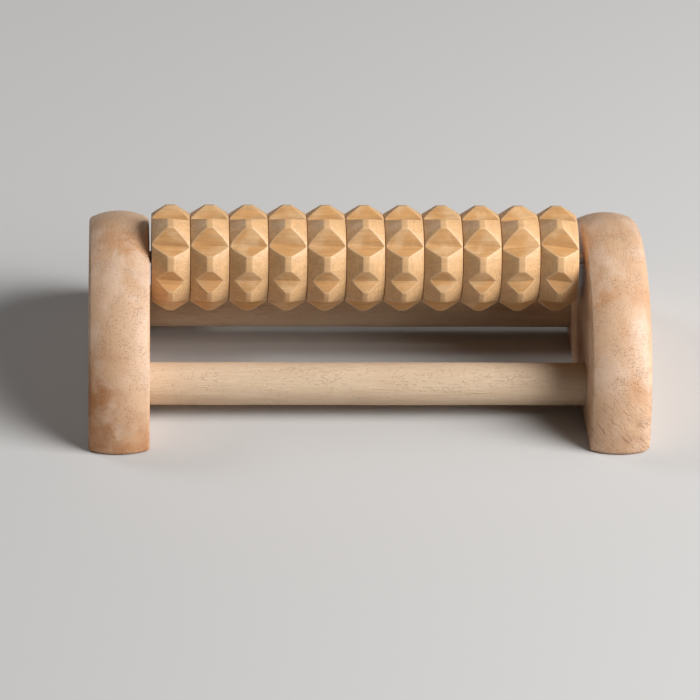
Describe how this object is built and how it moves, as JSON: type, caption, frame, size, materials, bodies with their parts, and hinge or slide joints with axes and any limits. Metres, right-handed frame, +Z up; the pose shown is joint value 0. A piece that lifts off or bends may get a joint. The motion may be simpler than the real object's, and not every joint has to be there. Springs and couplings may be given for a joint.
{
  "type": "foot massage roller",
  "caption": "Table-top foot massage roller: notched wooden rings turn freely on a steel axle between two half-round wooden side plates joined by two round rails.",
  "frame": {"origin": "on the surface the plates stand on, midway between the plates and midway along their bases", "axes": "+X along the roller to the right, +Y to the back, +Z up"},
  "size_m": [0.19, 0.112, 0.0629],
  "materials": {
    "plate_wood": "sanded, thin satin coat, mottled pinkish beige",
    "rail_wood": "dry unfinished dowel, matt",
    "ring_wood": "honey lacquer, semi-gloss, edges rubbed lighter",
    "axle_steel": "bright drawn steel rod"
  },
  "bodies": {
    "frame": {"left_side_plate": "plate_wood", "right_side_plate": "plate_wood", "front_rail": "rail_wood", "rear_rail": "rail_wood", "axle": "axle_steel"},
    "ring_01": {"ring_01": "ring_wood"},
    "ring_02": {"ring_02": "ring_wood"},
    "ring_03": {"ring_03": "ring_wood"},
    "ring_04": {"ring_04": "ring_wood"},
    "ring_05": {"ring_05": "ring_wood"},
    "ring_06": {"ring_06": "ring_wood"},
    "ring_07": {"ring_07": "ring_wood"},
    "ring_08": {"ring_08": "ring_wood"},
    "ring_09": {"ring_09": "ring_wood"},
    "ring_10": {"ring_10": "ring_wood"},
    "ring_11": {"ring_11": "ring_wood"}
  },
  "joints": [
    {"name": "ring_01_spin", "type": "hinge", "parent": "frame", "child": "ring_01", "pos_m": [-0.06718, 0, 0.0454], "axis": [1, 0, 0], "continuous": true},
    {"name": "ring_02_spin", "type": "hinge", "parent": "frame", "child": "ring_02", "pos_m": [-0.05396, 0, 0.0454], "axis": [1, 0, 0], "continuous": true},
    {"name": "ring_03_spin", "type": "hinge", "parent": "frame", "child": "ring_03", "pos_m": [-0.04072, 0, 0.0454], "axis": [1, 0, 0], "continuous": true},
    {"name": "ring_04_spin", "type": "hinge", "parent": "frame", "child": "ring_04", "pos_m": [-0.02749, 0, 0.0454], "axis": [1, 0, 0], "continuous": true},
    {"name": "ring_05_spin", "type": "hinge", "parent": "frame", "child": "ring_05", "pos_m": [-0.01426, 0, 0.0454], "axis": [1, 0, 0], "continuous": true},
    {"name": "ring_06_spin", "type": "hinge", "parent": "frame", "child": "ring_06", "pos_m": [-0.00103, 0, 0.0454], "axis": [1, 0, 0], "continuous": true},
    {"name": "ring_07_spin", "type": "hinge", "parent": "frame", "child": "ring_07", "pos_m": [0.01219, 0, 0.0454], "axis": [1, 0, 0], "continuous": true},
    {"name": "ring_08_spin", "type": "hinge", "parent": "frame", "child": "ring_08", "pos_m": [0.02542, 0, 0.0454], "axis": [1, 0, 0], "continuous": true},
    {"name": "ring_09_spin", "type": "hinge", "parent": "frame", "child": "ring_09", "pos_m": [0.03866, 0, 0.0454], "axis": [1, 0, 0], "continuous": true},
    {"name": "ring_10_spin", "type": "hinge", "parent": "frame", "child": "ring_10", "pos_m": [0.05189, 0, 0.0454], "axis": [1, 0, 0], "continuous": true},
    {"name": "ring_11_spin", "type": "hinge", "parent": "frame", "child": "ring_11", "pos_m": [0.06512, 0, 0.0454], "axis": [1, 0, 0], "continuous": true}
  ]
}
